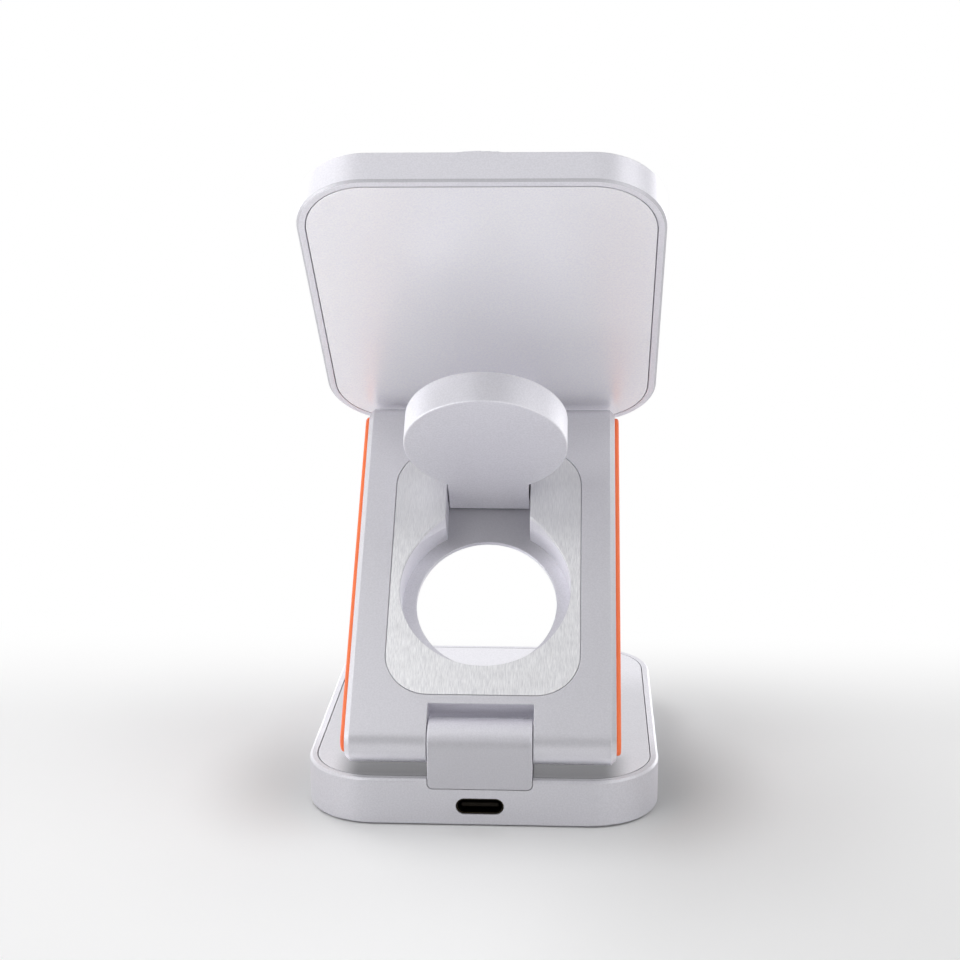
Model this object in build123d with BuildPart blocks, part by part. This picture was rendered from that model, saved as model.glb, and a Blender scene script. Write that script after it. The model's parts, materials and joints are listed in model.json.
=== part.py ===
from build123d import *
from math import cos, radians, sin
import os

# Folding three in one wireless charger: a base slab, an arm hinged on its rear edge,
# a phone pad hinged on the arm's top, and a watch puck that swings out of the arm.
# Millimetres. X runs along the hinges, Y points from the rear to the front, Z is up.
# The origin is the middle of the surface that the foot pad stands on.

# Outline shared by the base and the phone pad
plate_width = 65.0
plate_depth = 72.5
plate_corner = 13.0
plate_wall = 2.4
plate_chamfer = 0.42
panel_thickness = 1.1
panel_seam = 0.2

# Base
foot_height = 0.25
foot_thickness = 0.9
foot_inset = 2.6
base_thickness = 8.7
base_rim = 1.4
base_bottom_round = 0.35
cover_thickness = 1.2

# Phone pad
pad_thickness = 6.8
pad_rim = 1.5
pad_front_wall = 1.2
disc_radius = 28.0
disc_height = 4.0
disc_shift = 4.2
disc_wall = 2.0
disc_round = 0.5
face_thickness = 0.9
face_border = 1.0

# Hinges between the plates and the arm
hinge_inset = 4.2
knuckle_width = 18.9
knuckle_gap = 0.2
knuckle_chamfer = 0.15
tab_depth = 1.77
tab_corner = 1.0
tab_fit = 0.1
shelf_thickness = 0.7
foot_plate_length = 6.4
foot_plate_thickness = 1.2
pin_radius = 1.25
pin_running_fit = 0.03
pin_press_fit = 0.01
washer_radius = 3.0
washer_thickness = 0.15
arm_gap_base = 1.85
arm_gap_pad = 0.8

# Arm
arm_thickness = 7.9
arm_width = 49.0
arm_chamfer = 0.95
arm_notch_end = 5.6
arm_rear_skin = 1.5
arm_pocket_wall = 1.2
arm_cover_width = 44.0
arm_cover_corner = 8.0
arm_cover_ledge = 1.0
strip_height = 4.6
strip_seat = 1.2
strip_proud = 0.85
strip_fit = 0.03
strip_round = 0.6
inlay_side_band = 1.95
inlay_end_gap = 7.25
inlay_corner = 8.2
inlay_thickness = 0.5
inlay_seam = 0.15
inlay_cut_margin = 0.1
through_radius = 13.4

# Watch puck and its pocket in the arm
pocket_low_margin = 13.2
pocket_radius = 16.05
pocket_depth = 6.85
pocket_relief_gap = 0.3
pocket_relief_angle = 50.0
notch_high_margin = 10.1
puck_radius = 15.3
puck_thickness = 6.5
puck_reach = 21.65
puck_far_gap = 0.4
puck_edge_round = 0.3
puck_back_wall = 1.3
puck_side_wall = 1.25
neck_width = 15.6
neck_gap = 0.3
neck_end_gap = 0.45
neck_axis_depth = 0.7
neck_floor_gap = 0.15
puck_pin_radius = 0.4
puck_pin_seat = 3.5
dish_thickness = 1.4
dish_hollow = 0.8
dish_border = 1.1

# USB-C inlet in the rear face of the base
port_width = 8.7
port_height = 3.05
port_centre = 3.86
port_recess = 0.25
port_shell_wall = 0.25
port_shell_length = 7.3
port_fit = 0.05
tongue_width = 6.7
tongue_thickness = 0.7
tongue_recess = 0.7

# Fasteners
screw_shank_radius = 0.8
screw_head_radius = 1.5
screw_head_height = 0.6
cover_screw_length = 4.0
bracket_screw_length = 3.0
screw_fit = 0.05
bracket_screw_spacing = 14.0
cover_screw_inset = 7.2
boss_wall = 1.4

# Pieces sealed inside the housings
board_thickness = 0.8
board_corner = 1.0
base_board_width = 40.0
base_board_depth = 18.0
pad_board_width = 34.0
pad_board_depth = 26.0
chip_size = 5.0
chip_height = 1.0
cable_thickness = 0.3
cable_bend = 5.0
cable_low_gap = 10.2
cable_high_gap = 13.4
cable_side_gap = 0.55
cable_pocket_gap = 0.7
coil_thickness = 0.8
ferrite_thickness = 0.6
earbud_coil_place = 6.0
earbud_coil_outer = 14.0
earbud_coil_inner = 6.0
phone_coil_outer = 21.5
phone_coil_inner = 10.0
magnet_outer = 25.8
magnet_inner = 22.8
magnet_thickness = 1.2
magnet_count = 18
magnet_slit = 0.6
watch_coil_outer = 11.5
watch_coil_inner = 6.0
watch_magnet_radius = 4.5

# Pose in which the charger stands ready for use
arm_lean = 45.3
pad_lean = 46.0

# Planes that carry the pieces: x is always the hinge direction, y runs away from the
# hinge along the plate, z points out of the surface that faces the hinge
hinge_direction = (1, 0, 0)
arm_along = Vector(0, cos(radians(arm_lean)), sin(radians(arm_lean)))
arm_out = Vector(0, -sin(radians(arm_lean)), cos(radians(arm_lean)))
pad_along = Vector(0, -cos(radians(pad_lean)), sin(radians(pad_lean)))
pad_out = Vector(0, -sin(radians(pad_lean)), -cos(radians(pad_lean)))

pocket_place = pocket_low_margin + pocket_radius
puck_axis_place = pocket_low_margin + puck_far_gap + puck_radius + puck_reach
notch_end = puck_axis_place + puck_thickness - neck_axis_depth + neck_end_gap
hinge_spacing = notch_end + notch_high_margin
inlay_width = 2 * (pocket_radius + inlay_side_band)
inlay_length = hinge_spacing - 2 * inlay_end_gap

hinge_radius = hinge_inset
base_axis_height = arm_thickness / 2 + arm_gap_base
pad_axis_height = arm_thickness / 2 + arm_gap_pad
hinge_from_centre = plate_depth / 2 - hinge_inset

base_floor = Plane.XY.offset(foot_height)
base_top = base_floor.offset(base_thickness)
lower_axis = Vector(0, -hinge_from_centre, foot_height + base_thickness + base_axis_height)
upper_axis = lower_axis + arm_along * hinge_spacing
pad_centre = upper_axis + pad_along * hinge_from_centre - pad_out * pad_axis_height

arm_mid = Plane(origin=lower_axis, x_dir=hinge_direction, z_dir=arm_out)
arm_rear = arm_mid.offset(arm_thickness / 2)
arm_front = arm_mid.offset(-arm_thickness / 2)
pad_back = Plane(origin=pad_centre, x_dir=hinge_direction, z_dir=pad_out)
pad_front = pad_back.offset(-pad_thickness)
disc_front = pad_front.offset(-disc_height)

puck_axis_level = arm_thickness / 2 - pocket_depth + neck_floor_gap + neck_axis_depth
puck_axis = lower_axis + arm_along * puck_axis_place + arm_out * puck_axis_level
puck_mid = Plane(origin=puck_axis, x_dir=hinge_direction, z_dir=pad_out)
puck_back = puck_mid.offset(neck_axis_depth)
puck_face = puck_back.offset(-puck_thickness)

notch_width = neck_width + 2 * neck_gap
fork_width = knuckle_width + 2 * knuckle_gap
arm_cover_thickness = arm_thickness - pocket_depth
seat_depth = 2 * foot_plate_thickness
bracket_head_seat = foot_plate_thickness + screw_head_height
screw_boss_radius = screw_shank_radius + boss_wall
arch_depth = 2 * hinge_radius
bracket_screw_row = -plate_depth / 2 + arch_depth + foot_plate_length / 2
bracket_screw_places = [(side * bracket_screw_spacing / 2, bracket_screw_row) for side in (-1, 1)]
cover_screw_x = plate_width / 2 - cover_screw_inset
cover_screw_y = plate_depth / 2 - cover_screw_inset
cover_screw_places = [(right * cover_screw_x, front * cover_screw_y)
                      for right in (-1, 1) for front in (-1, 1)]


def across(plane):
    """Plane at right angles to the hinges: its x is the given plane's y, its y that plane's z."""
    return Plane(origin=plane.origin, x_dir=plane.y_dir, z_dir=plane.x_dir)


def rear_of(plane):
    """Plane on the edge face beside the hinge: its x is the hinges, its y the given plane's z."""
    edge = plane.from_local_coords(Vector(0, -plate_depth / 2, 0))
    return Plane(origin=edge, x_dir=plane.x_dir, z_dir=-plane.y_dir)


def plate_outline(inset=0.0):
    RectangleRounded(plate_width - 2 * inset, plate_depth - 2 * inset, plate_corner - inset)


def inset_panel(plate, rim):
    """Panel let into a housing's rim, open at the edge for the arch of the hinge bracket."""
    with BuildSketch(plate) as outline:
        plate_outline(rim + panel_seam)
        with Locations((0, -plate_depth / 2 + hinge_radius)):
            Rectangle(knuckle_width + 2 * tab_fit, arch_depth + 2 * tab_fit, mode=Mode.SUBTRACT)
    extrude(outline.sketch, amount=-panel_thickness)


def pocket_outline(margin=0.0):
    """Round pocket of the watch puck, with the straight notch that its neck folds into."""
    with Locations((0, pocket_place)):
        Circle(pocket_radius + margin)
    with Locations((0, (pocket_place + notch_end + margin) / 2)):
        Rectangle(notch_width + 2 * margin, notch_end + margin - pocket_place)


def pocket_relief():
    """Ring segment that the disc of the puck sweeps as it swings, taken out of the pocket's wall."""
    swing = Plane(origin=puck_axis, x_dir=hinge_direction, z_dir=arm_out)
    with BuildSketch(swing) as stowed_disc:
        with Locations((0, -puck_reach)):
            Circle(puck_radius + pocket_relief_gap)
    swing_axis = Axis(puck_axis, -swing.x_dir)
    revolve(stowed_disc.sketch, axis=swing_axis, revolution_arc=pocket_relief_angle, mode=Mode.SUBTRACT)


def tab_outline(clearance):
    """Tab of the hinge bracket as it shows in the edge face, with its two round corners."""
    with Locations((0, -(tab_depth + clearance) / 2)):
        tab = Rectangle(knuckle_width + 2 * clearance, tab_depth + clearance)
    fillet(tab.vertices().group_by(Axis.Y)[0], tab_corner)


def hinge_seat(plate, boss_depth):
    """What a housing has for its hinge bracket: a shelf, two screw bosses and a notch."""
    seat = plate.offset(-seat_depth)
    shelf_end = -plate_depth / 2 + arch_depth + foot_plate_length
    shelf_start = -plate_depth / 2 + plate_wall / 2
    with BuildSketch(seat) as shelf:
        with Locations((0, (shelf_start + shelf_end) / 2)):
            Rectangle(knuckle_width + 2 * boss_wall, shelf_end - shelf_start)
    extrude(shelf.sketch, amount=-shelf_thickness)
    with BuildSketch(seat) as bosses:
        with Locations(*bracket_screw_places):
            Circle(screw_boss_radius)
    extrude(bosses.sketch, amount=-boss_depth)
    with BuildSketch(seat) as pilots:
        with Locations(*bracket_screw_places):
            Circle(screw_shank_radius + screw_fit)
    extrude(pilots.sketch, amount=-bracket_screw_length, mode=Mode.SUBTRACT)
    with BuildSketch(rear_of(plate)) as notch:
        tab_outline(tab_fit)
    extrude(notch.sketch, amount=-(plate_wall + tab_fit), mode=Mode.SUBTRACT)


def hinge_bracket(plate, axis_height):
    """Arch with the hinge bore, its tab in the edge face and its foot plate under the panel."""
    arch_middle = -plate_depth / 2 + hinge_radius
    with BuildSketch(across(plate)) as arch:
        with Locations((arch_middle, axis_height)):
            Circle(hinge_radius)
        with Locations((arch_middle, axis_height / 2)):
            Rectangle(arch_depth, axis_height)
    knuckle = extrude(arch.sketch, amount=knuckle_width / 2, both=True)
    chamfer(knuckle.faces().filter_by(Axis.X).edges(), knuckle_chamfer)
    with BuildSketch(rear_of(plate)) as tab:
        tab_outline(0)
    extrude(tab.sketch, amount=-plate_wall)
    foot_start = -plate_depth / 2 + plate_wall + tab_fit
    foot_end = -plate_depth / 2 + arch_depth + foot_plate_length
    neck_end = -plate_depth / 2 + arch_depth
    with BuildSketch(plate) as root:
        with Locations((0, (foot_start + neck_end) / 2)):
            Rectangle(knuckle_width, neck_end - foot_start)
    extrude(root.sketch, amount=-seat_depth)
    with BuildSketch(plate.offset(-seat_depth)) as foot:
        with Locations((0, (foot_start + foot_end) / 2)):
            Rectangle(knuckle_width, foot_end - foot_start)
    extrude(foot.sketch, amount=foot_plate_thickness)
    with BuildSketch(plate) as screw_holes:
        with Locations(*bracket_screw_places):
            Circle(screw_shank_radius + screw_fit)
    extrude(screw_holes.sketch, amount=-seat_depth, mode=Mode.SUBTRACT)
    with BuildSketch(plate) as head_recesses:
        with Locations(*bracket_screw_places):
            Circle(screw_head_radius + screw_fit)
    extrude(head_recesses.sketch, amount=-bracket_head_seat, mode=Mode.SUBTRACT)
    with BuildSketch(across(plate)) as bore:
        with Locations((arch_middle, axis_height)):
            Circle(pin_radius + pin_running_fit)
    extrude(bore.sketch, amount=knuckle_width, both=True, mode=Mode.SUBTRACT)


def screws(head_seat, places, length):
    """Flat head screws with a hexagon socket: heads above the seat plane, shanks below it."""
    with BuildSketch(head_seat) as heads:
        with Locations(*places):
            Circle(screw_head_radius)
    extrude(heads.sketch, amount=screw_head_height)
    with BuildSketch(head_seat.offset(screw_head_height)) as sockets:
        with Locations(*places):
            RegularPolygon(screw_shank_radius, 6)
    extrude(sockets.sketch, amount=-screw_head_height / 2, mode=Mode.SUBTRACT)
    with BuildSketch(head_seat) as shanks:
        with Locations(*places):
            Circle(screw_shank_radius)
    extrude(shanks.sketch, amount=-length)


def ring(plane, place, outer, inner, thickness):
    """Flat ring, such as a coil or a ferrite, that hangs below a plane."""
    with BuildSketch(plane) as outline:
        with Locations((0, place)):
            Circle(outer)
            Circle(inner, mode=Mode.SUBTRACT)
    extrude(outline.sketch, amount=-thickness)


def hinge_pin(place, level, radius, half_length):
    with BuildSketch(across(arm_mid)) as section:
        with Locations((place, level)):
            Circle(radius)
    extrude(section.sketch, amount=half_length, both=True)


def hinge_washers(place):
    """Two thrust washers, one on the inner face of each fork ear."""
    for side in (-1, 1):
        with BuildSketch(across(arm_mid).offset(side * fork_width / 2)) as washer:
            with Locations((place, 0)):
                Circle(washer_radius)
                Circle(pin_radius + pin_running_fit, mode=Mode.SUBTRACT)
        extrude(washer.sketch, amount=-side * washer_thickness)


def save(piece, name):
    piece.part.label = name
    export_step(piece.part, f"parts/{name}.step")


os.makedirs("parts", exist_ok=True)

# Base housing: a ring wall with seats for the top panel and the bottom cover
port_plane = rear_of(Plane.XY.offset(port_centre))
with BuildPart() as base_housing:
    with BuildSketch(base_floor):
        plate_outline()
    extrude(amount=base_thickness)
    chamfer(base_housing.faces().sort_by(Axis.Z)[-1].edges(), plate_chamfer)
    fillet(base_housing.faces().sort_by(Axis.Z)[0].edges(), base_bottom_round)
    with BuildSketch(base_floor):
        plate_outline(plate_wall)
    extrude(amount=base_thickness, mode=Mode.SUBTRACT)
    with BuildSketch(base_floor.offset(cover_thickness)):
        with Locations(*cover_screw_places):
            Circle(screw_boss_radius + boss_wall / 2)
    extrude(amount=cover_screw_length)
    hinge_seat(base_top, bracket_screw_length + shelf_thickness)
    with BuildSketch(base_top):
        plate_outline(base_rim)
    extrude(amount=-panel_thickness, mode=Mode.SUBTRACT)
    with BuildSketch(base_floor):
        plate_outline(base_rim)
    extrude(amount=cover_thickness, mode=Mode.SUBTRACT)
    with BuildSketch(base_floor.offset(cover_thickness)):
        with Locations(*cover_screw_places):
            Circle(screw_shank_radius + screw_fit)
    extrude(amount=cover_screw_length, mode=Mode.SUBTRACT)
    with BuildSketch(port_plane):
        SlotOverall(port_width, port_height)
    extrude(amount=-(plate_wall + tab_fit), mode=Mode.SUBTRACT)
save(base_housing, "base_housing")

# Top panel, inset in the rim, with a slot for the arch of the hinge bracket
with BuildPart() as base_top_panel:
    inset_panel(base_top, base_rim)
save(base_top_panel, "base_top_panel")

# Bottom cover with a recess for the foot pad and four sunk screw heads
cover_inner = base_floor.offset(cover_thickness)
foot_top = Plane.XY.offset(foot_thickness)
with BuildPart() as base_bottom_cover:
    with BuildSketch(base_floor):
        plate_outline(base_rim + panel_seam)
    extrude(amount=cover_thickness)
    with BuildSketch(base_floor):
        plate_outline(foot_inset)
    extrude(amount=foot_thickness - foot_height, mode=Mode.SUBTRACT)
    with BuildSketch(foot_top):
        with Locations(*cover_screw_places):
            Circle(screw_shank_radius + screw_fit)
    extrude(amount=cover_thickness, mode=Mode.SUBTRACT)
save(base_bottom_cover, "base_bottom_cover")

with BuildPart() as base_foot_pad:
    with BuildSketch(Plane.XY):
        plate_outline(foot_inset + panel_seam / 2)
    extrude(amount=foot_thickness)
    chamfer(base_foot_pad.faces().sort_by(Axis.Z)[0].edges(), foot_height / 2)
    with BuildSketch(foot_top):
        with Locations(*cover_screw_places):
            Circle(screw_head_radius + screw_fit)
    extrude(amount=-(screw_head_height + screw_fit), mode=Mode.SUBTRACT)
save(base_foot_pad, "base_foot_pad")

# The bottom screws point up, so their seat plane looks down
cover_screw_seat = Plane(origin=foot_top.origin, x_dir=hinge_direction, z_dir=(0, 0, -1))
with BuildPart() as base_cover_screws:
    screws(cover_screw_seat, cover_screw_places, cover_screw_length)
save(base_cover_screws, "base_cover_screws")

with BuildPart() as lower_hinge_bracket:
    hinge_bracket(base_top, base_axis_height)
save(lower_hinge_bracket, "lower_hinge_bracket")

with BuildPart() as lower_bracket_screws:
    screws(base_top.offset(-bracket_head_seat), bracket_screw_places, bracket_screw_length)
save(lower_bracket_screws, "lower_bracket_screws")

# USB-C receptacle: a drawn metal shell with a tongue, on a board above the bottom cover
shell_bottom = port_centre - port_height / 2 + port_fit
shell_mouth = port_plane.offset(-port_recess)
shell_width = port_width - 2 * port_fit
shell_height = port_height - 2 * port_fit
with BuildPart() as usb_c_shell:
    with BuildSketch(shell_mouth):
        SlotOverall(shell_width, shell_height)
    extrude(amount=-port_shell_length)
    with BuildSketch(shell_mouth):
        SlotOverall(shell_width - 2 * port_shell_wall, shell_height - 2 * port_shell_wall)
    extrude(amount=-(port_shell_length - port_shell_wall), mode=Mode.SUBTRACT)
save(usb_c_shell, "usb_c_shell")

with BuildPart() as usb_c_tongue:
    with BuildSketch(shell_mouth.offset(-tongue_recess)):
        RectangleRounded(tongue_width, tongue_thickness, tongue_thickness / 3)
    extrude(amount=-(port_shell_length - port_shell_wall - tongue_recess))
save(usb_c_tongue, "usb_c_tongue")

board_rear = -plate_depth / 2 + plate_wall + panel_seam
with BuildPart() as base_board:
    with BuildSketch(Plane.XY.offset(shell_bottom)):
        with Locations((0, board_rear + base_board_depth / 2)):
            RectangleRounded(base_board_width, base_board_depth, board_corner)
    extrude(amount=-(shell_bottom - foot_height - cover_thickness))
    with BuildSketch(Plane.XY.offset(shell_bottom)):
        with Locations((0, board_rear + base_board_depth - chip_size / 2 - board_corner)):
            with GridLocations(2 * chip_size, 0, 3, 1):
                Rectangle(chip_size, chip_size)
    extrude(amount=chip_height)
save(base_board, "base_board")

coil_plane = base_top.offset(-panel_thickness)
with BuildPart() as earbud_coil:
    ring(coil_plane, earbud_coil_place, earbud_coil_outer, earbud_coil_inner, coil_thickness)
save(earbud_coil, "earbud_coil")

with BuildPart() as earbud_ferrite:
    with BuildSketch(coil_plane.offset(-coil_thickness)):
        with Locations((0, earbud_coil_place)):
            Circle(earbud_coil_outer + ferrite_thickness)
    extrude(amount=-ferrite_thickness)
save(earbud_ferrite, "earbud_ferrite")

# Arm frame: half round ends about both hinge axes, a fork at each end for the knuckles,
# the puck pocket, and a hollow round it that the front cover closes
arm_middle = (0, hinge_spacing / 2)
arm_side = across(arm_mid)
arm_inner = arm_front.offset(arm_cover_thickness)
with BuildPart() as arm_frame:
    with BuildSketch(arm_side):
        with Locations((hinge_spacing / 2, 0)):
            SlotCenterToCenter(hinge_spacing, arm_thickness)
    extrude(amount=arm_width / 2, both=True)
    chamfer(arm_frame.faces().filter_by(Axis.X).edges(), arm_chamfer)
    with BuildSketch(arm_rear):
        pocket_outline()
    extrude(amount=-arm_thickness, mode=Mode.SUBTRACT)
    with BuildSketch(arm_mid):
        for place in (0, hinge_spacing):
            with Locations((0, place)):
                Rectangle(fork_width, 2 * arm_notch_end)
    extrude(amount=arm_thickness, both=True, mode=Mode.SUBTRACT)
    with BuildSketch(arm_front):
        with Locations(arm_middle):
            RectangleRounded(arm_cover_width, inlay_length, arm_cover_corner)
    extrude(amount=arm_cover_thickness, mode=Mode.SUBTRACT)
    with BuildSketch(arm_inner):
        with Locations(arm_middle):
            RectangleRounded(arm_cover_width - 2 * arm_cover_ledge, inlay_length - 2 * arm_cover_ledge,
                             arm_cover_corner - arm_cover_ledge)
        with BuildSketch(mode=Mode.SUBTRACT):
            pocket_outline(arm_pocket_wall)
            with Locations((0, (notch_end + hinge_spacing) / 2)):
                Rectangle(notch_width + 2 * puck_pin_seat, hinge_spacing - notch_end + arm_pocket_wall)
    extrude(amount=pocket_depth - arm_rear_skin, mode=Mode.SUBTRACT)
    with BuildSketch(arm_rear):
        with Locations(arm_middle):
            RectangleRounded(inlay_width, inlay_length, inlay_corner)
    extrude(amount=-inlay_thickness, mode=Mode.SUBTRACT)
    for side in (-1, 1):
        with BuildSketch(arm_side.offset(side * arm_width / 2)):
            with Locations((hinge_spacing / 2, 0)):
                SlotCenterToCenter(hinge_spacing, strip_height)
        extrude(amount=-side * strip_seat, mode=Mode.SUBTRACT)
    pocket_relief()
    with BuildSketch(arm_side):
        with Locations((0, 0), (hinge_spacing, 0)):
            Circle(pin_radius + pin_press_fit)
    extrude(amount=arm_width / 2, both=True, mode=Mode.SUBTRACT)
    with BuildSketch(arm_side):
        with Locations((puck_axis_place, puck_axis_level)):
            Circle(puck_pin_radius + pin_press_fit)
    extrude(amount=notch_width / 2 + puck_pin_seat, both=True, mode=Mode.SUBTRACT)
save(arm_frame, "arm_frame")

# Front cover: it closes the arm and is the floor of the pocket, with the round window
with BuildPart() as arm_front_cover:
    with BuildSketch(arm_front):
        with Locations(arm_middle):
            RectangleRounded(arm_cover_width - panel_seam, inlay_length - panel_seam,
                             arm_cover_corner - panel_seam / 2)
        with Locations((0, pocket_place)):
            Circle(through_radius, mode=Mode.SUBTRACT)
    extrude(amount=arm_cover_thickness)
save(arm_front_cover, "arm_front_cover")

# Brushed inlay in the rear face, cut out round the pocket
with BuildPart() as arm_inlay:
    with BuildSketch(arm_rear):
        with Locations(arm_middle):
            RectangleRounded(inlay_width - 2 * inlay_seam, inlay_length - 2 * inlay_seam,
                             inlay_corner - inlay_seam)
        with BuildSketch(mode=Mode.SUBTRACT):
            pocket_outline(inlay_cut_margin)
    extrude(amount=-inlay_thickness)
    pocket_relief()
save(arm_inlay, "arm_inlay")

# Coloured strips that stand proud of both side faces and hide the pin ends
for side, hand in ((-1, "left"), (1, "right")):
    with BuildPart() as arm_strip:
        with BuildSketch(arm_side.offset(side * (arm_width / 2 - strip_seat))):
            with Locations((hinge_spacing / 2, 0)):
                SlotCenterToCenter(hinge_spacing, strip_height - 2 * strip_fit)
        extrude(amount=side * (strip_seat + strip_proud))
        outer_face = arm_strip.faces().filter_by(Axis.X).sort_by(Axis.X)[-1 if side > 0 else 0]
        fillet(outer_face.edges(), strip_round)
    save(arm_strip, f"arm_strip_{hand}")

# Flat cable inside the arm, from the lower fork to the upper one, between the wall of the
# pocket and the side of the hollow
cable_outer_edge = arm_cover_width / 2 - arm_cover_ledge - cable_side_gap
cable_inner_edge = pocket_radius + arm_pocket_wall + cable_pocket_gap
cable_width = cable_outer_edge - cable_inner_edge
cable_side = (cable_outer_edge + cable_inner_edge) / 2
cable_high = hinge_spacing - cable_high_gap
with BuildPart() as arm_flat_cable:
    with BuildSketch(arm_inner):
        with BuildLine():
            FilletPolyline((0, cable_low_gap), (cable_side, cable_low_gap), (cable_side, cable_high),
                           radius=cable_bend)
        trace(line_width=cable_width)
    extrude(amount=cable_thickness)
save(arm_flat_cable, "arm_flat_cable")

pin_half_length = arm_width / 2 - strip_seat - pin_running_fit
with BuildPart() as lower_hinge_pin:
    hinge_pin(0, 0, pin_radius, pin_half_length)
save(lower_hinge_pin, "lower_hinge_pin")

with BuildPart() as upper_hinge_pin:
    hinge_pin(hinge_spacing, 0, pin_radius, pin_half_length)
save(upper_hinge_pin, "upper_hinge_pin")

with BuildPart() as puck_hinge_pin:
    hinge_pin(puck_axis_place, puck_axis_level, puck_pin_radius, notch_width / 2 + puck_pin_seat)
save(puck_hinge_pin, "puck_hinge_pin")

with BuildPart() as lower_hinge_washers:
    hinge_washers(0)
save(lower_hinge_washers, "lower_hinge_washers")

with BuildPart() as upper_hinge_washers:
    hinge_washers(hinge_spacing)
save(upper_hinge_washers, "upper_hinge_washers")

# Watch puck: disc and neck in one shell, hollow behind the charging dish
with BuildPart() as puck_housing:
    with BuildSketch(puck_back):
        with Locations((0, puck_reach)):
            Circle(puck_radius)
        with Locations((0, (puck_reach - neck_axis_depth) / 2)):
            Rectangle(neck_width, puck_reach + neck_axis_depth)
    extrude(amount=-puck_thickness)
    puck_up = Axis(puck_axis, puck_mid.y_dir)
    puck_rearward = Axis(puck_axis, puck_mid.z_dir)
    neck_foot = puck_housing.faces().sort_by(puck_up)[0].edges().filter_by(Axis.X)
    fillet(neck_foot.sort_by(puck_rearward)[-1], neck_axis_depth)
    back_face = puck_housing.faces().sort_by(puck_rearward)[-1]
    dish_face = puck_housing.faces().sort_by(puck_rearward)[0]
    disc_edges = (back_face.edges() + dish_face.edges()).filter_by(GeomType.CIRCLE)
    fillet(disc_edges, puck_edge_round)
    with BuildSketch(puck_face):
        with Locations((0, puck_reach)):
            Circle(puck_radius - puck_side_wall)
    extrude(amount=puck_thickness - puck_back_wall, mode=Mode.SUBTRACT)
    with BuildSketch(across(puck_mid)):
        Circle(puck_pin_radius + pin_running_fit)
    extrude(amount=neck_width, both=True, mode=Mode.SUBTRACT)
save(puck_housing, "puck_housing")

# Charging dish, hollowed for the round back of a watch
dish_radius = puck_radius - puck_side_wall - strip_fit
hollow_radius = dish_radius - dish_border
puck_section = across(puck_face)
with BuildPart() as puck_dish:
    with BuildSketch(puck_section):
        with BuildLine():
            Polyline((puck_reach + hollow_radius, 0), (puck_reach + dish_radius, 0),
                     (puck_reach + dish_radius, dish_thickness), (puck_reach, dish_thickness),
                     (puck_reach, dish_hollow))
            SagittaArc((puck_reach, dish_hollow), (puck_reach + hollow_radius, 0), dish_hollow / 4)
        make_face()
    dish_axis = Axis(puck_face.from_local_coords(Vector(0, puck_reach, 0)), puck_face.z_dir)
    revolve(axis=dish_axis)
save(puck_dish, "puck_dish")

dish_inner = puck_face.offset(dish_thickness + coil_thickness)
with BuildPart() as watch_coil:
    ring(dish_inner, puck_reach, watch_coil_outer, watch_coil_inner, coil_thickness)
save(watch_coil, "watch_coil")

with BuildPart() as watch_ferrite:
    ring(dish_inner.offset(ferrite_thickness), puck_reach, watch_coil_outer + ferrite_thickness,
         watch_coil_inner, ferrite_thickness)
save(watch_ferrite, "watch_ferrite")

with BuildPart() as watch_magnet:
    with BuildSketch(puck_back.offset(-puck_back_wall)):
        with Locations((0, puck_reach)):
            Circle(watch_magnet_radius)
    extrude(amount=-(puck_thickness - puck_back_wall - dish_thickness))
save(watch_magnet, "watch_magnet")

# Phone pad housing: the shared slab outline with a raised round charging boss in front
disc_place = (0, disc_shift)
with BuildPart() as pad_housing:
    with BuildSketch(pad_back):
        plate_outline()
    extrude(amount=-pad_thickness)
    pad_outward = Axis(pad_centre, pad_out)
    chamfer(pad_housing.faces().sort_by(pad_outward)[-1].edges(), plate_chamfer)
    chamfer(pad_housing.faces().sort_by(pad_outward)[0].edges(), plate_chamfer)
    with BuildSketch(pad_front):
        with Locations(disc_place):
            Circle(disc_radius)
    extrude(amount=-disc_height)
    fillet(pad_housing.faces().sort_by(pad_outward)[0].edges(), disc_round)
    with BuildSketch(pad_back):
        plate_outline(plate_wall)
    extrude(amount=-(pad_thickness - pad_front_wall), mode=Mode.SUBTRACT)
    with BuildSketch(pad_back):
        with Locations(disc_place):
            Circle(disc_radius - disc_wall)
    extrude(amount=-(pad_thickness + disc_height), mode=Mode.SUBTRACT)
    with BuildSketch(disc_front):
        with Locations(disc_place):
            Circle(disc_radius - face_border)
    extrude(amount=face_thickness, mode=Mode.SUBTRACT)
    hinge_seat(pad_back, pad_thickness - seat_depth - pad_front_wall / 2)
    with BuildSketch(pad_back):
        plate_outline(pad_rim)
    extrude(amount=-panel_thickness, mode=Mode.SUBTRACT)
save(pad_housing, "pad_housing")

with BuildPart() as pad_back_panel:
    inset_panel(pad_back, pad_rim)
save(pad_back_panel, "pad_back_panel")

with BuildPart() as pad_face:
    with BuildSketch(disc_front):
        with Locations(disc_place):
            Circle(disc_radius - face_border - strip_fit)
    extrude(amount=face_thickness)
save(pad_face, "pad_face")

face_inner = disc_front.offset(face_thickness)
with BuildPart() as pad_magnets:
    with BuildSketch(face_inner):
        with Locations(disc_place):
            Circle(magnet_outer)
            Circle(magnet_inner, mode=Mode.SUBTRACT)
            with PolarLocations((magnet_outer + magnet_inner) / 2, magnet_count):
                Rectangle(magnet_outer - magnet_inner + magnet_slit, magnet_slit, mode=Mode.SUBTRACT)
    extrude(amount=magnet_thickness)
save(pad_magnets, "pad_magnets")

with BuildPart() as pad_coil:
    ring(face_inner.offset(coil_thickness), disc_shift, phone_coil_outer, phone_coil_inner, coil_thickness)
save(pad_coil, "pad_coil")

with BuildPart() as pad_ferrite:
    with BuildSketch(face_inner.offset(coil_thickness)):
        with Locations(disc_place):
            Circle(phone_coil_outer + ferrite_thickness)
    extrude(amount=ferrite_thickness)
save(pad_ferrite, "pad_ferrite")

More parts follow.
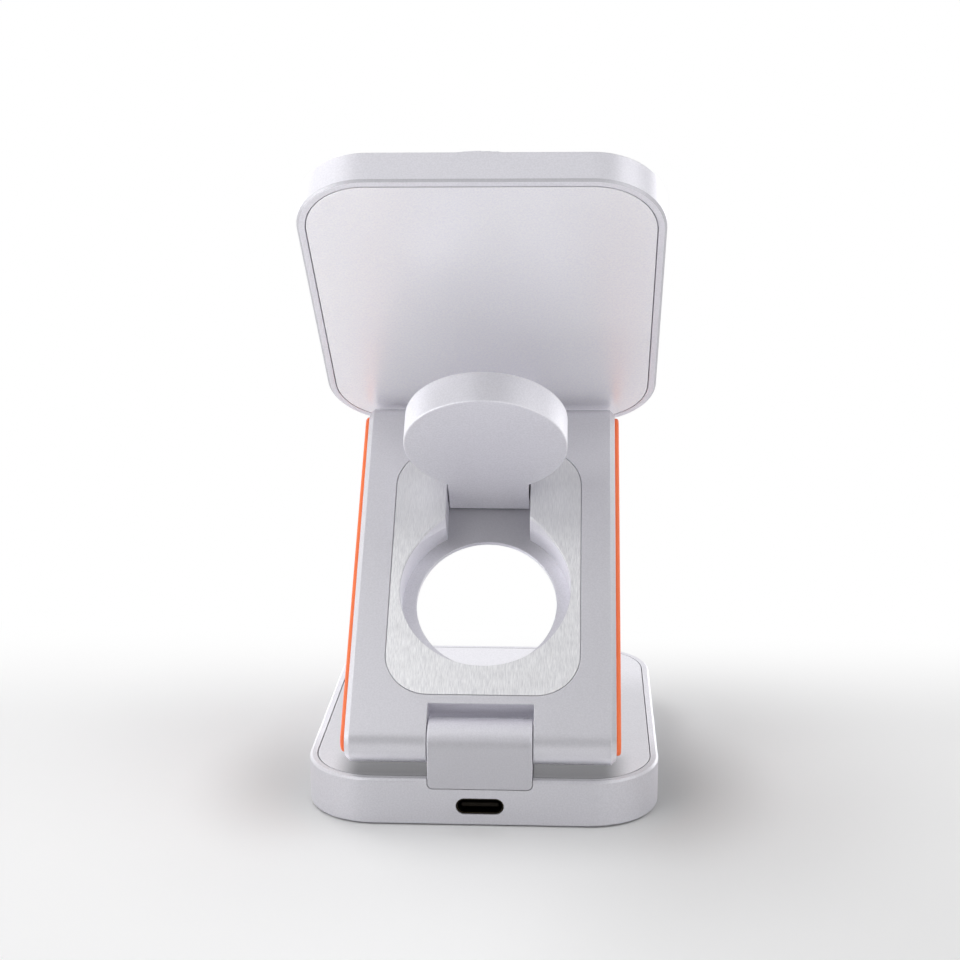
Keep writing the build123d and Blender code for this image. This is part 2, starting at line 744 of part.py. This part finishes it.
# Pad board, bonded to the inside of the back panel
with BuildPart() as pad_board:
    with BuildSketch(pad_back.offset(-panel_thickness)):
        with Locations(disc_place):
            RectangleRounded(pad_board_width, pad_board_depth, board_corner)
    extrude(amount=-board_thickness)
    with BuildSketch(pad_back.offset(-panel_thickness - board_thickness)):
        with Locations(disc_place):
            with GridLocations(2 * chip_size, 2 * chip_size, 2, 2):
                Rectangle(chip_size, chip_size)
    extrude(amount=-chip_height)
save(pad_board, "pad_board")

with BuildPart() as upper_hinge_bracket:
    hinge_bracket(pad_back, pad_axis_height)
save(upper_hinge_bracket, "upper_hinge_bracket")

with BuildPart() as upper_bracket_screws:
    screws(pad_back.offset(-bracket_head_seat), bracket_screw_places, bracket_screw_length)
save(upper_bracket_screws, "upper_bracket_screws")
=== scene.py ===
import json
from math import cos, radians, sin

import bpy
from mathutils import Matrix, Vector

# Finishes, lights, floor and camera for the folding three in one charger.
# Metres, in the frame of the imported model: X along the hinges, Y to the front, Z up.
# The photograph was taken from the rear, and left and right are as it shows them.

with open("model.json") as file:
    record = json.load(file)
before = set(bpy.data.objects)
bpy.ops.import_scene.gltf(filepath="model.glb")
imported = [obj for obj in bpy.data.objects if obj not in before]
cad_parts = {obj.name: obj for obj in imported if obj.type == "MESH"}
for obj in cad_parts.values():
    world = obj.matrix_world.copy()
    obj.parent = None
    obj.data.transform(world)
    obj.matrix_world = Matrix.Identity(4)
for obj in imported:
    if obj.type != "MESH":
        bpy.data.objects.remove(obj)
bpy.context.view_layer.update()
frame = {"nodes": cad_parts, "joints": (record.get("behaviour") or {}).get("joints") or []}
NODES = frame["nodes"]
MM = 0.001
RIGHT, FRONT, UP = Vector((1, 0, 0)), Vector((0, 1, 0)), Vector((0, 0, 1))

# How the arm stands at rest, read from its two main hinges
HINGES = {joint["name"]: Vector(joint["pos_m"]) for joint in frame["joints"]}
ARM_ALONG = (HINGES["pad_hinge"] - HINGES["arm_hinge"]).normalized()
ARM_OUT = RIGHT.cross(ARM_ALONG)

# How the pad and the puck stand at rest: up their planes, and the way their backs face
PAD_LEAN = radians(46)
PAD_ALONG = Vector((0, -cos(PAD_LEAN), sin(PAD_LEAN)))
PAD_BACK = Vector((0, -sin(PAD_LEAN), -cos(PAD_LEAN)))

# A Mix node's sockets for colours, by number because their names repeat
MIX_AMOUNT, MIX_FIRST, MIX_SECOND, MIX_COLOUR = 0, 6, 7, 2


class Term:
    """A number, colour or vector that varies over a surface, so that its maths reads as Python."""

    def __init__(self, nodes, socket):
        self.nodes = nodes
        self.socket = socket

    def maths(self, operation, first, second=0.0):
        return self.nodes.node("ShaderNodeMath", {"operation": operation}, [first, second])

    def __add__(self, other):
        return self.maths("ADD", self, other)

    def __radd__(self, other):
        return self.maths("ADD", other, self)

    def __sub__(self, other):
        return self.maths("SUBTRACT", self, other)

    def __rsub__(self, other):
        return self.maths("SUBTRACT", other, self)

    def __mul__(self, other):
        return self.maths("MULTIPLY", self, other)

    def __rmul__(self, other):
        return self.maths("MULTIPLY", other, self)

    def __abs__(self):
        return self.maths("ABSOLUTE", self)

    def root(self):
        return self.maths("POWER", self, 0.5)

    def at_least(self, low):
        return self.maths("MAXIMUM", self, low)

    def between(self, low, high):
        """0 below low, 1 above high and a smooth rise from one to the other."""
        return self.nodes.node("ShaderNodeMapRange", {"interpolation_type": "SMOOTHSTEP"},
                               {"Value": self, "From Min": low, "From Max": high})


class Nodes:
    """The node tree of a material or of the world."""

    def __init__(self, tree):
        self.tree = tree
        self.tree.nodes.clear()

    def node(self, kind, settings=None, inputs=None, output=0):
        """Adds a node: its settings first, then its sockets. Gives back one of its outputs."""
        node = self.tree.nodes.new(kind)
        for name, value in (settings or {}).items():
            setattr(node, name, value)
        pairs = inputs.items() if isinstance(inputs, dict) else enumerate(inputs or [])
        for name, value in pairs:
            self.feed(node.inputs[name], value)
        return Term(self, node.outputs[output]) if node.outputs else None

    def feed(self, socket, value):
        if isinstance(value, Term):
            self.tree.links.new(value.socket, socket)
        else:
            socket.default_value = value

    def seen(self):
        """1 for the rays of the camera itself."""
        return self.node("ShaderNodeLightPath", output="Is Camera Ray")

    def mirrored(self):
        """1 for the rays that gloss throws back and that glass lets through."""
        glossy = self.node("ShaderNodeLightPath", output="Is Glossy Ray")
        return glossy + self.node("ShaderNodeLightPath", output="Is Transmission Ray")


class Finish(Nodes):
    """One material: a node tree that ends in a Principled shader."""

    def __init__(self, name):
        self.material = bpy.data.materials.new(name)
        self.material.use_nodes = True
        super().__init__(self.material.node_tree)
        self.shader = self.tree.nodes.new("ShaderNodeBsdfPrincipled")
        self.output = self.tree.nodes.new("ShaderNodeOutputMaterial")
        self.lit = Term(self, self.shader.outputs[0])
        self.feed(self.output.inputs["Surface"], self.lit)

    def set(self, **values):
        """Sets or links the shader's sockets, named as in its panel, with _ for a space."""
        for name, value in values.items():
            self.feed(self.shader.inputs[name.replace("_", " ")], value)

    def place(self):
        """The point on the piece at rest, in metres. It moves with the piece."""
        return self.node("ShaderNodeTexCoord", output="Object")

    def across(self):
        """How far right of the middle the point is."""
        return self.node("ShaderNodeSeparateXYZ", inputs=[self.place()], output="X")

    def forward(self):
        """How far in front of the middle the point is."""
        return self.node("ShaderNodeSeparateXYZ", inputs=[self.place()], output="Y")

    def dot(self, vector, way):
        return self.node("ShaderNodeVectorMath", {"operation": "DOT_PRODUCT"},
                         [vector, tuple(way)], "Value")

    def facing(self, way):
        """How far the surface faces a way at rest, from 1 to -1, whatever the pose."""
        return self.dot(self.node("ShaderNodeTexCoord", output="Normal"), way)

    def up_arm(self):
        """How far up the arm the point is, from its lower hinge."""
        return self.dot(self.place(), ARM_ALONG) - HINGES["arm_hinge"].dot(ARM_ALONG)

    def turned_to_arm(self):
        """The point turned so that its Y runs along the arm at rest."""
        lean = FRONT.rotation_difference(ARM_ALONG).inverted().to_euler()
        return self.node("ShaderNodeMapping", {"vector_type": "POINT"},
                         {"Vector": self.place(), "Rotation": tuple(lean)})

    def noise(self, scale, detail, roughness, vector=None):
        return self.node("ShaderNodeTexNoise", {"noise_dimensions": "3D"},
                         {"Vector": vector or self.place(), "Scale": scale, "Detail": detail,
                          "Roughness": roughness})

    def streaks(self, vector, per_metre, detail, roughness):
        """Noise at so many marks to the metre on each axis: long where they are few."""
        return self.noise(1.0, detail, roughness, self.scaled(vector, per_metre))

    def scaled(self, vector, factors):
        return self.node("ShaderNodeVectorMath", {"operation": "MULTIPLY"}, [vector, factors])

    def mixed(self, amount, first, second):
        """first where amount is 0, second where it is 1."""
        return self.node("ShaderNodeMix", {"data_type": "RGBA", "clamp_factor": True},
                         {MIX_AMOUNT: amount, MIX_FIRST: first, MIX_SECOND: second}, MIX_COLOUR)

    def toned(self, amount, colour, factor):
        """The colour, made paler or duller by the factor where amount is 1: painted light or
        painted shade.
        """
        return self.mixed(amount, colour, self.scaled(colour, (factor, factor, factor)))

    def eased_edges(self, radius):
        """The surface's normal with its sharp edges eased, as a blasted or moulded edge is."""
        return self.node("ShaderNodeBevel", {"samples": 6}, {"Radius": radius})

    def bumped(self, height, distance, strength, normal=None):
        inputs = {"Strength": strength, "Distance": distance, "Height": height}
        if normal:
            inputs["Normal"] = normal
        return self.node("ShaderNodeBump", inputs=inputs)


def rgb(red, green, blue):
    """A colour given as it looks on screen, 0 to 255, as linear light."""
    def linear(value):
        value /= 255
        return value / 12.92 if value <= 0.04045 else ((value + 0.055) / 1.055) ** 2.4
    return (linear(red), linear(green), linear(blue), 1.0)


def lilac(level):
    """The faint lilac grey of the silver shells, at a level from 0 to 255."""
    return rgb(level, level - 1, level + 5)


# Places on the pieces where painted shade makes the silver duller or painted light makes it paler.
# Each is 1 there and 0 elsewhere.

def shade_on_arm_faces(finish):
    """Painted shade on the arm's two broad faces, but not on the walls of its pocket or its ends.
    """
    return abs(finish.facing(ARM_OUT)).between(0.1, 0.6)


def shade_on_base_walls(finish):
    """Painted shade on all of the base's ring but the front part of its rim."""
    faces_up = finish.facing(UP).between(0.3, 0.8)
    in_front = finish.forward().between(-32 * MM, -12 * MM)
    return 1 - faces_up * in_front


def shade_on_puck_crown(finish):
    """Painted shade on the part of the disc's rim that faces up at rest."""
    return finish.facing(PAD_ALONG).between(0.55, 1.0)


def shade_on_puck_back(finish):
    """Painted shade on the back of the disc and of its neck."""
    return finish.facing(PAD_BACK).between(0.6, 0.95)


def light_on_pad_rim(finish):
    """Painted light on the flat rim round the pad's back panel."""
    return finish.facing(PAD_BACK).between(0.88, 0.98)


def shade_on_pad_chamfer(finish):
    """Painted shade on the narrow slope between that rim and the pad's sides."""
    facing = finish.facing(PAD_BACK)
    not_side, flat = facing.between(0.4, 0.6), facing.between(0.8, 0.9)
    return not_side * (1 - flat)


def shade_on_tab(finish):
    """Painted shade on the bracket's flat tab, which faces the rear."""
    return finish.facing(-FRONT).between(0.9, 1.0)


def shade_on_rear_of_top(finish):
    """Painted shade on the base's top, from its rear to a little in front of its middle."""
    return 1 - finish.forward().between(5 * MM, 25 * MM)


def shadow_behind_arm(finish):
    """Painted shadow on the rear of the base's top, where the arm's end stands close over it."""
    forward = finish.forward()
    past_rear_edge = forward.between(-38 * MM, -33 * MM)
    past_arm = forward.between(-27 * MM, -21 * MM)
    beside_arm = abs(finish.across()).between(22 * MM, 28 * MM)
    return past_rear_edge * (1 - past_arm) * (1 - beside_arm)


def shade_under_puck(finish):
    """Painted shade on the end of the pocket's floor that the puck's neck stands over."""
    shaded_upper_end = finish.up_arm().between(36 * MM, 43 * MM)
    on_floor = finish.facing(ARM_OUT).between(0.2, 0.6)
    return shaded_upper_end * on_floor


def anodised_silver(name, dull, bright, metallic=0.8, roughness=0.44, tones=()):
    """Blasted and anodised shell: pale, a faint lilac, with a fine even grain.
    Each tone is a place on the piece, and the factor that its colour takes there: painted shade
    where the factor is below 1, painted light where it is above."""
    finish = Finish(name)
    grain = finish.noise(scale=3200, detail=2.0, roughness=0.6)
    speckle = finish.noise(scale=1500, detail=1.0, roughness=0.5)
    cloud = finish.noise(scale=45, detail=2.0, roughness=0.5)
    brightness = grain.between(0.3, 0.7) * 0.8 + cloud.between(0.2, 0.8) * 0.2
    colour = finish.mixed(brightness, dull, bright)
    for where, factor in tones:
        colour = finish.toned(where(finish), colour, factor)
    edges = finish.eased_edges(radius=0.22 * MM)
    normal = finish.bumped(grain + speckle * 0.6, distance=0.02 * MM, strength=0.45, normal=edges)
    finish.set(Base_Color=colour, Metallic=metallic, Roughness=roughness + grain * 0.1,
               Normal=normal)
    return finish.material


def brushed_inlay():
    """Thin sheet brushed along the arm: short fine strokes, some bright and some dull,
    and a painted shade that makes it duller towards the arm's upper end."""
    finish = Finish("brushed_inlay")
    turned = finish.turned_to_arm()
    fine = finish.streaks(turned, (9500, 620, 620), detail=2.0, roughness=0.65)
    broad = finish.streaks(turned, (3600, 300, 300), detail=1.0, roughness=0.5)
    strokes = (fine * 0.75 + broad * 0.25).between(0.3, 0.7)
    colour = finish.mixed(strokes, rgb(222, 222, 225), rgb(254, 254, 255))
    # Painted shade: the inlay turns duller towards the arm's upper end.
    shaded_upper_end = finish.up_arm().between(34 * MM, 46 * MM)
    colour = finish.mixed(shaded_upper_end * 0.5, colour, rgb(188, 188, 192))
    edges = finish.eased_edges(radius=0.12 * MM)
    normal = finish.bumped(strokes, distance=0.012 * MM, strength=0.6, normal=edges)
    finish.set(Base_Color=colour, Metallic=0.55, Roughness=0.30 + strokes * 0.16, Normal=normal)
    return finish.material


def moulded(name, colour, darker, roughness, specular=0.5):
    """Moulded plastic or rubber: a fine spark-eroded grain and a little tone in the colour."""
    finish = Finish(name)
    grain = finish.noise(scale=1400, detail=2.0, roughness=0.55)
    cloud = finish.noise(scale=90, detail=2.0, roughness=0.5)
    shade = finish.mixed(cloud.between(0.25, 0.75) * 0.5 + grain * 0.25, colour, darker)
    edges = finish.eased_edges(radius=0.15 * MM)
    normal = finish.bumped(grain, distance=0.012 * MM, strength=0.5, normal=edges)
    finish.set(Base_Color=shade, Roughness=roughness + grain * 0.08, Normal=normal,
               Specular_IOR_Level=specular)
    return finish.material


def turned_steel(name, colour, darker, roughness=0.28):
    """Steel turned in a lathe about a line across the object, with fine rings."""
    finish = Finish(name)
    rings = finish.streaks(finish.place(), (9000, 900, 900), detail=2.0, roughness=0.6)
    shade = finish.mixed(rings.between(0.3, 0.7), colour, darker)
    edges = finish.eased_edges(radius=0.08 * MM)
    normal = finish.bumped(rings, distance=0.006 * MM, strength=0.5, normal=edges)
    finish.set(Base_Color=shade, Metallic=1.0, Roughness=roughness + rings * 0.1, Normal=normal)
    return finish.material


def wound_copper():
    """Enamelled wire wound side by side, seen as fine strands in lacquered copper."""
    finish = Finish("wound_copper")
    strands = finish.noise(scale=1800, detail=2.0, roughness=0.6)
    shade = finish.mixed(strands.between(0.3, 0.7), rgb(196, 118, 74), rgb(142, 74, 42))
    normal = finish.bumped(strands, distance=0.03 * MM, strength=0.6)
    finish.set(Base_Color=shade, Metallic=0.8, Roughness=0.34 + strands * 0.1, Normal=normal)
    return finish.material


# The silver pieces share one finish, at levels that differ from piece to piece: these differences
# are painted shade and painted light, and each piece's tones paint more of both by place and
# direction.
SILVER = anodised_silver("anodised_silver", lilac(230), lilac(241))
PAD_SILVER = anodised_silver("pad_silver", lilac(223), lilac(233),
                             tones=[(shade_on_pad_chamfer, 0.72), (light_on_pad_rim, 1.08)])
PANEL_SILVER = anodised_silver("panel_silver", rgb(244, 243, 250), rgb(255, 254, 255),
                               metallic=0.55, roughness=0.30)
PUCK_SILVER = anodised_silver("puck_silver", lilac(232), lilac(244), metallic=0.6, roughness=0.48,
                              tones=[(shade_on_puck_crown, 0.77), (shade_on_puck_back, 0.92)])
BASE_SILVER = anodised_silver("base_silver", lilac(236), lilac(248), tones=[(shade_on_base_walls, 0.71)])
BRACKET_SILVER = anodised_silver("bracket_silver", lilac(220), lilac(230), tones=[(shade_on_tab, 0.73)])
ARM_SILVER = anodised_silver("arm_silver", lilac(238), lilac(248), tones=[(shade_on_arm_faces, 0.75)])
TOP_SILVER = anodised_silver("top_silver", lilac(238), lilac(250), roughness=0.32,
                             tones=[(shade_on_rear_of_top, 0.79), (shadow_behind_arm, 0.3)])
COVER_SILVER = anodised_silver("cover_silver", lilac(221), lilac(231), tones=[(shade_under_puck, 0.57)])
INLAY = brushed_inlay()
ORANGE = moulded("orange_strip", rgb(255, 124, 66), rgb(250, 108, 52), roughness=0.36)
GREY_PLASTIC = moulded("grey_plastic", rgb(190, 190, 196), rgb(176, 176, 183), roughness=0.5)
WHITE_PLASTIC = moulded("white_plastic", rgb(232, 232, 234), rgb(222, 222, 226), roughness=0.36)
BLACK_PLASTIC = moulded("black_plastic", rgb(28, 22, 12), rgb(16, 13, 8), roughness=0.6,
                        specular=0.12)
SILICONE = moulded("silicone", rgb(198, 198, 204), rgb(186, 186, 193), roughness=0.62)
FERRITE = moulded("ferrite", rgb(56, 55, 58), rgb(42, 41, 44), roughness=0.6)
BOARD = moulded("circuit_board", rgb(34, 84, 52), rgb(24, 64, 40), roughness=0.35)
STEEL = turned_steel("steel", rgb(188, 188, 192), rgb(160, 160, 166))
# The port's shell is steel, coloured far darker and browner than bright steel: painted shade that
# stands for the dark inside of the port's opening.
SHADED_PORT_STEEL = turned_steel("shaded_port_steel", rgb(58, 52, 42), rgb(38, 34, 28), roughness=0.4)
COPPER = wound_copper()

FINISHES = {
    SILVER: ["upper_hinge_bracket"],
    PAD_SILVER: ["pad_housing"],
    PANEL_SILVER: ["pad_back_panel"],
    PUCK_SILVER: ["puck_housing"],
    BASE_SILVER: ["base_housing"],
    BRACKET_SILVER: ["lower_hinge_bracket"],
    ARM_SILVER: ["arm_frame"],
    TOP_SILVER: ["base_top_panel"],
    COVER_SILVER: ["arm_front_cover"],
    INLAY: ["arm_inlay"],
    ORANGE: ["arm_strip_left", "arm_strip_right"],
    GREY_PLASTIC: ["base_bottom_cover"],
    WHITE_PLASTIC: ["puck_dish", "lower_hinge_washers", "upper_hinge_washers"],
    BLACK_PLASTIC: ["usb_c_tongue"],
    SILICONE: ["base_foot_pad", "pad_face"],
    FERRITE: ["earbud_ferrite", "watch_ferrite", "pad_ferrite"],
    BOARD: ["base_board", "pad_board", "arm_flat_cable"],
    STEEL: ["base_cover_screws", "lower_bracket_screws", "upper_bracket_screws",
            "lower_hinge_pin", "upper_hinge_pin", "puck_hinge_pin", "watch_magnet", "pad_magnets"],
    SHADED_PORT_STEEL: ["usb_c_shell"],
    COPPER: ["earbud_coil", "watch_coil", "pad_coil"],
}


def dress():
    for material, names in FINISHES.items():
        for name in names:
            slots = NODES[name].material_slots
            for slot in slots:
                slot.material = material
            if not slots:
                NODES[name].data.materials.append(material)


# The camera, as the photograph was taken: focal length in its pixels, place and angles
PICTURE_WIDTH = 960
FOCAL_LENGTH = 1715.4
SENSOR_WIDTH = 36.0
NEAREST = 10 * MM
CAMERA_PLACE = Vector((17.06, -321.61, 135.15)) * MM
CAMERA_TURN = radians(-3.327)
CAMERA_TILT = radians(13.887)
CAMERA_ROLL = radians(-0.407)


def set_camera():
    forward = Vector((sin(CAMERA_TURN) * cos(CAMERA_TILT), cos(CAMERA_TURN) * cos(CAMERA_TILT),
                      -sin(CAMERA_TILT)))
    right = Vector((cos(CAMERA_TURN), -sin(CAMERA_TURN), 0))
    up = right.cross(forward)
    rolled_right = right * cos(CAMERA_ROLL) + up * sin(CAMERA_ROLL)
    rolled_up = up * cos(CAMERA_ROLL) - right * sin(CAMERA_ROLL)
    data = bpy.data.cameras.new("camera")
    data.sensor_width = SENSOR_WIDTH
    data.lens = FOCAL_LENGTH / PICTURE_WIDTH * SENSOR_WIDTH
    data.clip_start = NEAREST
    camera = bpy.data.objects.new("camera", data)
    axes = Matrix((rolled_right, rolled_up, -forward)).transposed()
    camera.matrix_world = Matrix.Translation(CAMERA_PLACE) @ axes.to_4x4()
    bpy.context.scene.collection.objects.link(camera)
    bpy.context.scene.camera = camera


# Softboxes round the object: degrees from the front over the right, degrees up, and watts
MIDDLE = Vector((0, 0, 50)) * MM
SOFTBOX_AWAY = 600 * MM
SOFTBOX_SIZE = 360 * MM
SOFTBOXES = {
    "front_right_low": (45, 8, 0.76),
    "right_high": (90, 45, 0.74),
    "rear_right_low": (135, 8, 0.72),
    "rear_right_high": (135, 45, 0.32),
    "rear_low": (180, 8, 0.08),
    "rear_left_high": (225, 45, 1.03),
    "left_low": (270, 8, 0.98),
    "left_high": (270, 45, 0.11),
    "front_left_low": (315, 8, 0.42),
    "front_left_high": (315, 45, 0.97),
    "overhead": (0, 90, 0.33),
}

# One small lamp lies on the floor at the rear left, and shines up as a white card would
BOUNCE_PLACE = Vector((-240, -200, 3)) * MM
BOUNCE_AIM = Vector((-200, -160, 300)) * MM
BOUNCE_SIZE = 200 * MM
BOUNCE_WATTS = 0.97


def softbox(name, place, aim, size, watts):
    data = bpy.data.lights.new(name, "AREA")
    data.shape = "SQUARE"
    data.size = size
    data.energy = watts
    lamp = bpy.data.objects.new(name, data)
    lamp.visible_camera = False
    turned = (aim - place).to_track_quat("-Z", "Y")
    lamp.matrix_world = Matrix.Translation(place) @ turned.to_matrix().to_4x4()
    bpy.context.scene.collection.objects.link(lamp)


def set_lights():
    for name, (turn, height, watts) in SOFTBOXES.items():
        turn, height = radians(turn), radians(height)
        way = Vector((sin(turn) * cos(height), cos(turn) * cos(height), sin(height)))
        softbox(name, MIDDLE + way * SOFTBOX_AWAY, MIDDLE, SOFTBOX_SIZE, watts)
    softbox("floor_bounce_left", BOUNCE_PLACE, BOUNCE_AIM, BOUNCE_SIZE, BOUNCE_WATTS)


WHITE = (1, 1, 1, 1)
BLACK = (0, 0, 0, 1)
ROOM_GREY = (0.15, 0.15, 0.155, 1)
FLOOR_WHITE = (0.92, 0.92, 0.92, 1)
FLOOR_HALF = 3.0

# How far a way points to the front where the white backdrop begins, and where it is full
BACKDROP = (0.55, 0.85)

# The painted shade on the floor beside the base: where it begins, how far it reaches, how far its
# middle lies behind the object's, and how much distance along the base counts
SHADE_BEGINS = 34 * MM
SHADE_REACHES = 26 * MM
SHADE_BEHIND = 18 * MM
SHADE_ALONG = 0.7

# Its depth near the base and everywhere, and what the right side adds to each
RIGHT_SIDE = (0.0, 40 * MM)
NEAR_DEPTH, NEAR_DEPTH_RIGHT = 0.24, 0.05
DEPTH, DEPTH_RIGHT = 0.03, 0.11

# Where the floor begins to fade to plain white and where it has: partly, wholly and in front
NEAR_FADE, NEAR_FADE_AMOUNT = (45 * MM, 100 * MM), 0.35
FAR_FADE = (105 * MM, 240 * MM)
FRONT_FADE = (8 * MM, 72 * MM)


def set_world():
    """The camera sees a white room. Gloss and glass see the white backdrop in front.
    Every other ray sees a grey room, which gives a little light all round."""
    world = bpy.data.worlds.new("studio")
    world.use_nodes = True
    room = Nodes(world.node_tree)
    way = room.node("ShaderNodeTexCoord", output="Generated")
    backdrop = room.node("ShaderNodeSeparateXYZ", inputs=[way], output="Y").between(*BACKDROP)
    shown = room.seen() + room.mirrored() * backdrop
    grey = room.node("ShaderNodeBackground", inputs={"Color": ROOM_GREY})
    white = room.node("ShaderNodeBackground", inputs={"Color": WHITE})
    mix = room.node("ShaderNodeMixShader", inputs=[shown, grey, white])
    room.node("ShaderNodeOutputWorld", inputs=[mix])
    bpy.context.scene.world = world


def painted_shade_of_floor(finish):
    """How much painted shade greys the floor: more near the base and on the right."""
    across, forward = finish.across(), finish.forward()
    beside = (abs(across) - SHADE_BEGINS).at_least(0.0)
    along = (forward + SHADE_BEHIND) * SHADE_ALONG
    near_base = 1 - (beside * beside + along * along).root().between(0.0, SHADE_REACHES)
    right = across.between(*RIGHT_SIDE)
    return near_base * (right * NEAR_DEPTH_RIGHT + NEAR_DEPTH) + right * DEPTH_RIGHT + DEPTH


def fade_of_floor(finish):
    """How far the floor has gone to plain white: with its distance, and in front."""
    across, forward = finish.across(), finish.forward()
    distance = (across * across + forward * forward).root()
    near = distance.between(*NEAR_FADE) * NEAR_FADE_AMOUNT
    far = distance.between(*FAR_FADE)
    ahead = forward.between(*FRONT_FADE)
    return 1 - (1 - near) * (1 - far) * (1 - ahead)


def set_floor():
    """A white sweep: it takes the object's shadow from the lamps near it, carries a painted shade
    beside the base that the camera's rays alone see, and is plain white further off.
    """
    mesh = bpy.data.meshes.new("floor")
    turns = [(-1, -1), (1, -1), (1, 1), (-1, 1)]
    corners = [(across * FLOOR_HALF, forward * FLOOR_HALF, 0) for across, forward in turns]
    mesh.from_pydata(corners, [], [(0, 1, 2, 3)])
    floor = bpy.data.objects.new("floor", mesh)
    bpy.context.scene.collection.objects.link(floor)
    finish = Finish("floor")
    # Painted shade: the camera's rays alone see the floor greyed near the base and on the right.
    colour = finish.mixed(painted_shade_of_floor(finish) * finish.seen(), FLOOR_WHITE, BLACK)
    finish.set(Base_Color=colour, Roughness=0.9)
    shown = fade_of_floor(finish) * (finish.seen() + finish.mirrored())
    white = finish.node("ShaderNodeEmission", inputs={"Color": WHITE})
    mix = finish.node("ShaderNodeMixShader", inputs=[shown, finish.lit, white])
    finish.feed(finish.output.inputs["Surface"], mix)
    mesh.materials.append(finish.material)


dress()
set_camera()
set_lights()
set_world()
set_floor()
bpy.context.scene.view_settings.view_transform = "Standard"
